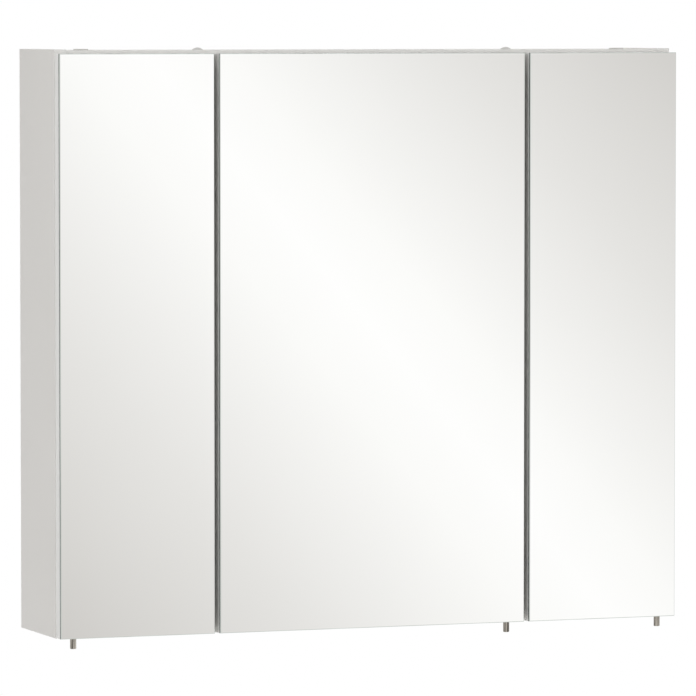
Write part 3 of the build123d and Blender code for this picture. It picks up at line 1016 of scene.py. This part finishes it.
@dataclass
class MirrorDoor:
    """One door: its board, mirror, knob and bumpers."""

    shop: Workshop
    side: Side
    arris_mm: float = 0.8
    arris_turn: float = 0.1  # a face that looks less to the front than this is ground edge
    board_edge_mm: float = 0.6
    knob_neck_mm: float = 0.4
    knob_chamfer_mm: float = 0.5
    bumper_mm: float = 0.9

    def node(self, part: str) -> str:
        """Full name of one of the door's CAD nodes."""
        return f"{self.side.value}_{part}"

    def mirror(self) -> None:
        """Sheet of silvered glass with a polished arris round its face."""
        low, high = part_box(self.node("mirror"))
        mesh = slab(low, high)

        def is_front(edge: Edge) -> bool:
            """Whether an edge borders the mirror's face."""
            return lies_at(edge, Axis.Y, low.y)

        ease_edges(mesh, self.arris_mm * MM, is_front, steps=2)
        for face in mesh.faces:
            face.normal_update()
            front = -face.normal.y
            face.material_index = 0 if front > SQUARE else 1 if front > self.arris_turn else 2
        name = f"{self.side.value}_mirror_glass"
        self.shop.make(name, mesh, self.node("mirror"), [SILVER, MIRROR_ARRIS, MIRROR_EDGE])

    def knob(self) -> None:
        """Turned bar under the door with a thin neck and a chamfered end."""
        low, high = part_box(self.node("knob"))
        radius, long = (high.x - low.x) / 2, high.z - low.z
        neck, chamfer = self.knob_neck_mm * MM, self.knob_chamfer_mm * MM
        profile = [
            (radius - chamfer, 0.0),
            (radius - chamfer, neck),
            (radius - neck / 2, neck + neck / 2),
            (radius, 2 * neck),
            (radius, long - chamfer),
            (radius - chamfer, long),
        ]
        middle = (low + high) / 2
        turn = Matrix.Translation((middle.x, middle.y, high.z)) @ Matrix.Rotation(math.pi, 4, "X")
        mesh = bmesh.new()
        lathe(mesh, profile, turn)
        self.shop.make(f"{self.side.value}_knob_bar", mesh, self.node("knob"), [KNOB_NICKEL])

    def panel(self) -> None:
        """Door board, rounded round its back and crisp against the mirror."""
        node = self.node("door_board")
        low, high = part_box(node)

        def is_back(edge: Edge) -> bool:
            """Whether an edge borders the back of the board on its outside."""
            rims = [(axis, end[axis.index]) for axis in (Axis.X, Axis.Z) for end in (low, high)]
            return lies_at(edge, Axis.Y, high.y) and any(lies_at(edge, *rim) for rim in rims)

        mesh = node_mesh(self.shop.node(node))
        ease_edges(mesh, self.board_edge_mm * MM, is_back)
        self.shop.make(f"{self.side.value}_door_panel", mesh, node, [DOOR_BOARD])

    def build(self) -> None:
        """Builds the door's pieces."""
        self.panel()
        self.mirror()
        self.knob()
        self.shop.dress(self.node("knob_stud"), ZINC)
        self.shop.eased(self.node("bumpers"), "pad", self.bumper_mm, BUMPER_RUBBER)


@dataclass
class CupHinges:
    """Concealed hinges: plates and arms on the partitions, cups in the doors."""

    shop: Workshop
    plate_mm: float = 0.35  # rounding of the pressed plates
    arm_edge_mm: float = 0.2
    bend_mm: float = 1.4  # outer bends of the arms
    bend_shortest_mm: float = 44.0  # edges along an arm that are longer than this are bends
    cup_mm: float = 0.25  # rounding of cups and links
    screw_mm: float = 0.25
    cup_screw_mm: float = 0.2

    def build(self) -> None:
        """Eases the pressed parts and the screws, and dresses the pins."""
        self.shop.eased("hinge_plates", "pressing", self.plate_mm, HINGE_NICKEL)
        bend = Fold(self.bend_mm, Axis.Y, self.bend_shortest_mm)
        self.shop.eased("hinge_arms", "pressing", self.arm_edge_mm, HINGE_NICKEL, bend)
        self.shop.dress("hinge_pins", HINGE_NICKEL)
        for node in ("hinge_plate_screws", "hinge_arm_screws"):
            self.shop.eased(node, "plated", self.screw_mm, ZINC)
        for side in Side:
            for part in ("hinge_cups", "hinge_links"):
                self.shop.eased(f"{side.value}_{part}", "pressing", self.cup_mm, HINGE_NICKEL)
            self.shop.eased(f"{side.value}_cup_screws", "plated", self.cup_screw_mm, ZINC)


@dataclass
class GlassShelves:
    """Glass shelves of one compartment and the supports under them."""

    shop: Workshop
    side: Side
    polish_mm: float = 1.2  # rounding of the polished edges
    support_mm: float = 0.3
    held_turn: float = 0.9  # a face that looks more at the panel than this is held by it

    def supports(self) -> None:
        """Plated supports, eased where they stand free of the panel that holds them."""
        node = f"{self.side.value}_shelf_supports"
        low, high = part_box(node)
        middle = (low.x + high.x) / 2

        def is_free(edge: Edge) -> bool:
            """Whether an edge is an outer corner away from the panel.

            Args:
                edge: An edge with a face on each side.

            Returns:
                True if it is eased.
            """
            inward = middle - edge.verts[0].co.x
            turns = [face.normal.x for face in edge.link_faces]
            held = any(abs(turn) > self.held_turn and turn * inward < 0 for turn in turns)
            return is_sharp(edge) and edge.is_convex and not held

        self.shop.eased(node, "plated", self.support_mm, HINGE_NICKEL, pick=is_free)

    def build(self) -> None:
        """Builds the shelves with polished edges, and their supports."""
        for level in ("lower", "upper"):
            node = f"{self.side.value}_{level}_shelf"
            mesh = slab(*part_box(node))
            ease_edges(mesh, self.polish_mm * MM, is_sharp)
            for face in mesh.faces:
                face.normal_update()
                face.material_index = 0 if abs(face.normal.z) > SQUARE else 1
            self.shop.make(f"{node}_glass", mesh, node, [SHELF_GLASS, SHELF_EDGE])
        self.supports()


@dataclass
class Hangers:
    """Adjustable hangers in the upper corners and the plates on the wall."""

    shop: Workshop
    housing_mm: float = 1.0
    steel_mm: float = 0.4
    screw_mm: float = 0.3

    def build(self) -> None:
        """Eases the housings, the bent steel and the screws."""
        for side in (Side.LEFT, Side.RIGHT):
            name = side.value
            self.shop.eased(f"{name}_hanger_body", "moulding", self.housing_mm, HOUSING_PLASTIC)
            for part in ("hanger_hook", "wall_plate"):
                self.shop.eased(f"{name}_{part}", "pressing", self.steel_mm, ZINC)
        self.shop.eased("hanger_screws", "plated", self.screw_mm, ZINC)


@dataclass(frozen=True)
class Softbox:
    """A square lamp of soft light."""

    name: str
    place: Point
    size: float  # of its side, in metres
    watts: float


@dataclass
class Studio:
    """Pale floor, soft light, and a lit screen that the mirrors look at."""

    middle: Point = (0.0, -0.08, -0.3)  # of the cabinet
    floor_z: float = -1.55
    floor_half: float = 14.0
    floor_paint: str = "#F6F5F3"
    floor_fade: Band = (0.8, 3.4)  # from the middle: where it starts to fade, and is white
    screen_radius: float = 2.4
    screen_light: float = 1.08
    screen_stops: tuple[tuple[float, str], ...] = (
        (0.0, WHITE),
        (0.14, "#FCFCFB"),
        (0.54, "#E6E5E3"),
        (1.0, "#CECCC9"),
    )
    bands: int = 8  # soft bands of light round the screen
    band_tilt: Band = (0.765, 0.644)  # across a band: along the arc, and up
    ridge_off: float = 0.577  # from the screen's front to one band's brightest line
    mirror_bounces: int = 24  # open doors face each other, mirror to mirror
    sky_light: float = 0.36
    room_light: float = 0.14  # from the dark end of the room, where the camera stands
    room_turn: Band = (0.2, 0.7)  # share towards the front at which the dark end sets in
    lamps: tuple[Softbox, ...] = (
        Softbox("left_softbox", (-2.75, -2.75, 0.7), 1.1, 57.0),
        Softbox("right_softbox", (3.1, -2.3, 0.7), 1.8, 42.0),
        Softbox("top_softbox", (0.0, 0.2, 2.9), 2.2, 20.0),
        Softbox("rear_softbox", (0.8, 3.2, 1.8), 2.4, 40.0),
    )

    def seen(self, tree: Tree) -> bpy.types.NodeSocket:
        """One where a ray comes from the camera, a mirror or clear glass.

        Args:
            tree: Where the nodes go.

        Returns:
            A socket that is one for such rays and zero for others.
        """
        ray = add_node(tree, "LightPath")
        total = ray.outputs["Is Camera Ray"]
        for kind in ("Is Glossy Ray", "Is Transmission Ray"):
            total = add_node(
                tree, "Math", {"operation": "MAXIMUM"}, {0: total, 1: ray.outputs[kind]}
            ).outputs[0]
        return total

    def world(self) -> None:
        """White where it is seen or mirrored, softer as a light."""
        world = bpy.data.worlds.new("studio_surround")
        tree = empty_tree(world)
        place = add_node(tree, "TexCoord")
        front = add_node(
            tree,
            "VectorMath",
            {"operation": "DOT_PRODUCT"},
            {0: place.outputs["Generated"], 1: (0.0, -1.0, 0.0)},
        )
        level = add_node(
            tree,
            "MapRange",
            {"interpolation_type": "SMOOTHSTEP"},
            {
                "Value": front.outputs["Value"],
                "From Min": self.room_turn[0],
                "From Max": self.room_turn[1],
                "To Min": self.sky_light,
                "To Max": self.room_light,
            },
        )
        light = add_node(
            tree, "Background", inputs={"Color": linear(WHITE), "Strength": level.outputs[0]}
        )
        white = add_node(tree, "Background", inputs={"Color": linear(WHITE), "Strength": 1.0})
        both = add_node(
            tree,
            "MixShader",
            inputs={0: self.seen(tree), 1: light.outputs[0], 2: white.outputs[0]},
        )
        add_node(tree, "OutputWorld", inputs={"Surface": both.outputs[0]})
        bpy.context.scene.world = world

    def floor_material(self) -> bpy.types.Material:
        """Pale paint that keeps the shadow, fades to white and is clear from below.

        Returns:
            The floor's material.
        """
        material = bpy.data.materials.new("pale_studio_floor")
        tree = empty_tree(material)
        place = add_node(tree, "TexCoord")
        flat = add_node(
            tree,
            "VectorMath",
            {"operation": "MULTIPLY"},
            {0: place.outputs["Object"], 1: (1.0, 1.0, 0.0)},
        )
        away = add_node(tree, "VectorMath", {"operation": "LENGTH"}, {0: flat.outputs[0]})
        fade = add_node(
            tree,
            "MapRange",
            {"interpolation_type": "SMOOTHSTEP"},
            {
                "Value": away.outputs["Value"],
                "From Min": self.floor_fade[0],
                "From Max": self.floor_fade[1],
            },
        )
        shown = add_node(
            tree, "Math", {"operation": "MULTIPLY"}, {0: fade.outputs[0], 1: self.seen(tree)}
        )
        paint = add_node(
            tree,
            "BsdfPrincipled",
            inputs={"Base Color": linear(self.floor_paint), "Roughness": 0.9},
        )
        white = add_node(tree, "Emission", inputs={"Color": linear(WHITE), "Strength": 1.0})
        both = add_node(
            tree,
            "MixShader",
            inputs={0: shown.outputs[0], 1: paint.outputs[0], 2: white.outputs[0]},
        )
        side = add_node(tree, "NewGeometry")
        below = add_node(tree, "BsdfTransparent")
        sided = add_node(
            tree,
            "MixShader",
            inputs={0: side.outputs["Backfacing"], 1: both.outputs[0], 2: below.outputs[0]},
        )
        add_node(tree, "OutputMaterial", inputs={"Surface": sided.outputs[0]})
        return material

    def floor(self) -> None:
        """A pale floor, far larger than the view."""
        data = bpy.data.meshes.new("studio_floor")
        half = self.floor_half
        corners = [(-half, -half), (half, -half), (half, half), (-half, half)]
        data.from_pydata([(x, y, self.floor_z) for x, y in corners], [], [(0, 1, 2, 3)])
        data.materials.append(self.floor_material())
        floor = bpy.data.objects.new("studio_floor", data)
        bpy.context.scene.collection.objects.link(floor)
        floor.visible_glossy = False  # the mirrors look at the screen, below the floor too

    def screen_material(self) -> bpy.types.Material:
        """Light that falls off evenly on both sides of each slanting ridge.

        Returns:
            The screen's material.
        """
        material = bpy.data.materials.new("banded_screen_light")
        tree = empty_tree(material)
        along, up = self.band_tilt
        half_band = math.pi * self.screen_radius / self.bands * along
        place = add_node(tree, "TexCoord")
        parts = add_node(tree, "SeparateXYZ", inputs={0: place.outputs["Object"]})
        front = add_node(tree, "Math", {"operation": "MULTIPLY"}, {0: parts.outputs["Y"], 1: -1.0})
        turn = add_node(
            tree, "Math", {"operation": "ARCTAN2"}, {0: parts.outputs["X"], 1: front.outputs[0]}
        )
        across = add_node(
            tree,
            "Math",
            {"operation": "MULTIPLY_ADD"},
            {0: turn.outputs[0], 1: self.screen_radius * along, 2: -self.ridge_off},
        )
        tilted = add_node(
            tree,
            "Math",
            {"operation": "MULTIPLY_ADD"},
            {0: parts.outputs["Z"], 1: up, 2: across.outputs[0]},
        )
        band = add_node(
            tree, "Math", {"operation": "PINGPONG"}, {0: tilted.outputs[0], 1: half_band}
        )
        share = add_node(tree, "Math", {"operation": "DIVIDE"}, {0: band.outputs[0], 1: half_band})
        tone = add_node(tree, "ValToRGB", {"stops": self.screen_stops}, {"Fac": share.outputs[0]})
        light = add_node(
            tree, "Emission", inputs={"Color": tone.outputs[0], "Strength": self.screen_light}
        )
        add_node(tree, "OutputMaterial", inputs={"Surface": light.outputs[0]})
        return material

    def screen(self) -> None:
        """A round screen with soft slanting bands of light, seen only in reflections."""
        mesh = bmesh.new()
        bmesh.ops.create_uvsphere(mesh, u_segments=96, v_segments=48, radius=self.screen_radius)
        data = bpy.data.meshes.new("banded_screen")
        mesh.to_mesh(data)
        mesh.free()
        data.shade_smooth()
        data.materials.append(self.screen_material())
        screen = bpy.data.objects.new("banded_screen", data)
        screen.location = self.middle
        bpy.context.scene.collection.objects.link(screen)
        screen.visible_camera = screen.visible_diffuse = screen.visible_shadow = False
        screen.visible_transmission = screen.visible_volume_scatter = False

    def lamp(self, softbox: Softbox) -> None:
        """Hangs a softbox that looks at the cabinet's middle and shows in no mirror.

        Args:
            softbox: The lamp's place, size and power.
        """
        light = bpy.data.lights.new(softbox.name, "AREA")
        light.size, light.energy = softbox.size, softbox.watts
        lamp = bpy.data.objects.new(softbox.name, light)
        aim, place = Vector(self.middle), Vector(softbox.place)
        lamp.location = place
        lamp.rotation_euler = (aim - place).to_track_quat("-Z", "Y").to_euler()
        lamp.visible_camera = lamp.visible_glossy = lamp.visible_transmission = False
        bpy.context.scene.collection.objects.link(lamp)

    def build(self) -> None:
        """Sets up the whole studio."""
        self.world()
        self.floor()
        self.screen()
        bpy.context.scene.cycles.glossy_bounces = self.mirror_bounces
        bpy.context.scene.cycles.max_bounces = self.mirror_bounces
        for softbox in self.lamps:
            self.lamp(softbox)


@dataclass
class PhotoCamera:
    """Camera at the photograph's place, with its long lens."""

    place: Point = (-2.5284, -6.8391, 0.0987)
    yaw: float = 20.482  # degrees to the right of square on
    pitch: float = -3.223
    focal_pixels: float = 5878.5
    sensor_mm: float = 36.0
    reach: float = 100.0

    def build(self) -> None:
        """Makes the camera and gives it to the scene."""
        data = bpy.data.cameras.new("photo_camera")
        data.sensor_width = self.sensor_mm
        data.lens = self.focal_pixels / PHOTO_PIXELS * self.sensor_mm
        data.clip_end = self.reach
        camera = bpy.data.objects.new("photo_camera", data)
        camera.location = self.place
        camera.rotation_euler = (math.radians(90 + self.pitch), 0.0, -math.radians(self.yaw))
        bpy.context.scene.collection.objects.link(camera)
        bpy.context.scene.camera = camera


def corners(box: Iterable[Vector]) -> list[list[float]]:
    """A box's two corners as plain numbers."""
    return [[round(value, 6) for value in corner] for corner in box]


def main() -> None:
    """Builds the cabinet's looks, the studio and the camera."""
    logging.basicConfig(level=logging.INFO, format="%(name)s: %(message)s")
    bpy.context.scene.view_settings.view_transform = "Standard"
    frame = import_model()
    shop = Workshop(frame)
    Carcass(shop).build()
    CupHinges(shop).build()
    Hangers(shop).build()
    for side in Side:
        GlassShelves(shop, side).build()
        MirrorDoor(shop, side).build()
    Studio().build()
    PhotoCamera().build()
    LOG.info("%d pieces made", shop.count)


if __name__ == "__main__":
    main()
